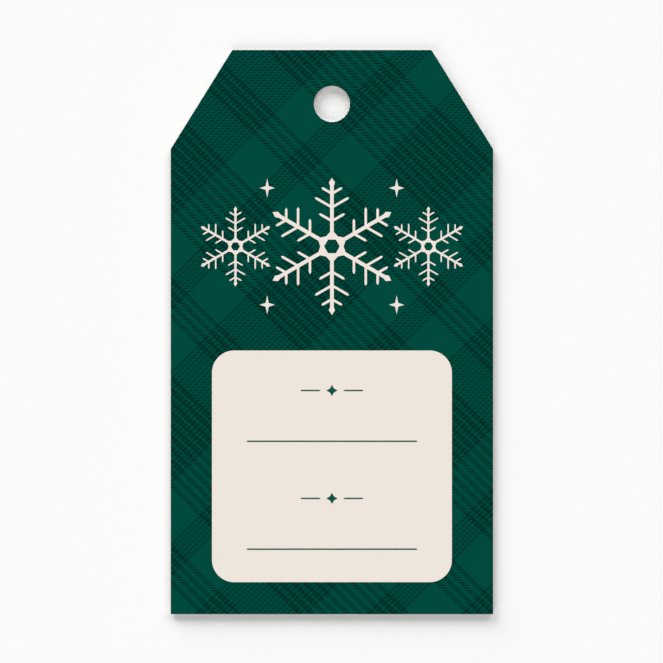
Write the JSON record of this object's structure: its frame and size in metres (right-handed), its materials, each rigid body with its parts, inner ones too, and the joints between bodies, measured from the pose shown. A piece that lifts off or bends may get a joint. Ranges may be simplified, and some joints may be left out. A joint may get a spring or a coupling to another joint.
{
  "type": "gift tag",
  "caption": "Flat card gift tag with clipped head corners, a string hole, a tartan-printed face and a rounded pale panel for writing; two glued sheets.",
  "frame": {"origin": "middle of the outline's box at the back face, on the surface that the tag lies on", "axes": "+Z out of the printed face, +Y towards the clipped head with the string hole, +X to the reader's right"},
  "size_m": [0.0508, 0.0888, 0.0008],
  "materials": {
    "card": "matte",
    "glue": "satin",
    "ground_ink": "matte",
    "panel_ink": "matte"
  },
  "bodies": {
    "root": {"back_sheet": "card", "glue_film": "glue", "front_sheet": "card", "ground_print": "ground_ink", "panel_print": "panel_ink"}
  },
  "joints": []
}
